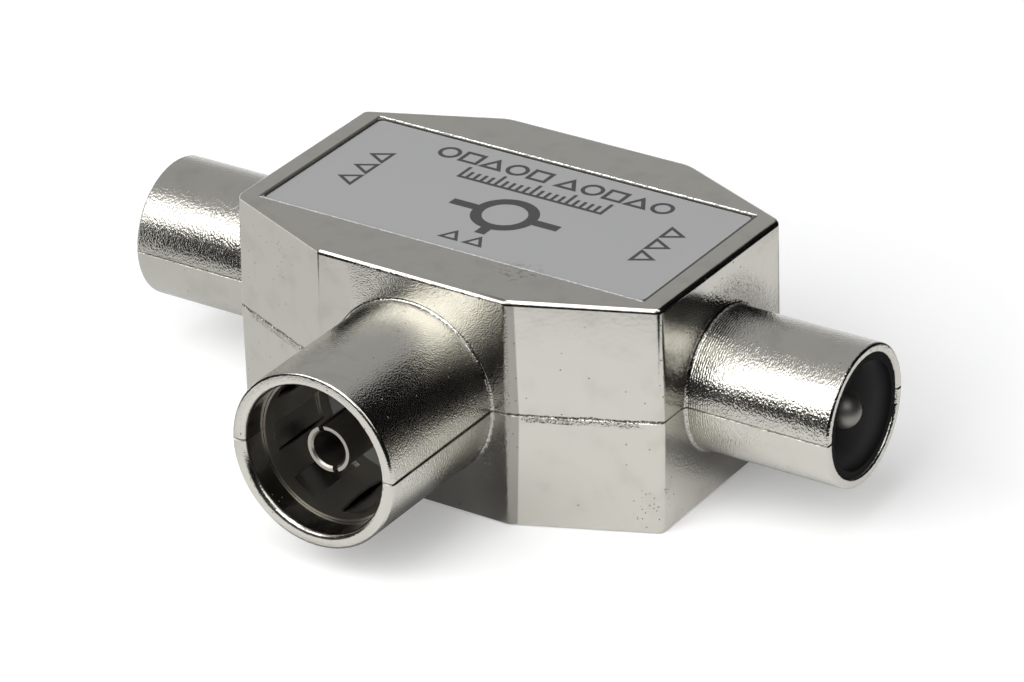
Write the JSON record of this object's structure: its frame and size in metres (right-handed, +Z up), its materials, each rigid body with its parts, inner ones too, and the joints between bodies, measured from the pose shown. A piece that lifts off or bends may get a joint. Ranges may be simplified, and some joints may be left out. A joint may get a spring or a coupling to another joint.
{
  "type": "coaxial splitter",
  "caption": "Die-cast coaxial splitter with an eight-sided body, one socket at the front and a plug at each end on one line, and a flat label recess on top.",
  "frame": {"origin": "on the underside, directly below the point where the axes of the three tubes cross", "axes": "+X along the right plug, -X along the left plug, -Y along the socket, +Z up from the underside to the label"},
  "size_m": [0.0528, 0.034, 0.016],
  "materials": {
    "plated_zinc": "nickel plate on die-cast zinc, smooth flats and pebbled tubes",
    "label": "matt silver grey, printed",
    "spring": "nickel-plated spring bronze",
    "insulator": "moulded black plastic",
    "contact": "nickel-plated brass, turned",
    "board": "glass-fibre board with solder mask",
    "ferrite": "fired ferrite, matt",
    "wire": "enamelled copper wire",
    "resistor": "glazed ceramic chip with tinned ends",
    "capacitor": "fired ceramic chip",
    "solder": "bright solder"
  },
  "bodies": {
    "root": {"upper_shell": "plated_zinc", "lower_shell": "plated_zinc", "label_plate": "label", "input_ground_spring": "spring", "input_insulator": "insulator", "input_contact": "contact", "output_left_insulator": "insulator", "output_left_pin": "contact", "output_right_insulator": "insulator", "output_right_pin": "contact", "circuit_board": "board", "matching_core": "ferrite", "matching_winding": "wire", "hybrid_core": "ferrite", "hybrid_winding": "wire", "balance_resistor": "resistor", "trim_capacitor": "capacitor", "input_solder": "solder", "output_left_solder": "solder", "output_right_solder": "solder"}
  },
  "joints": []
}
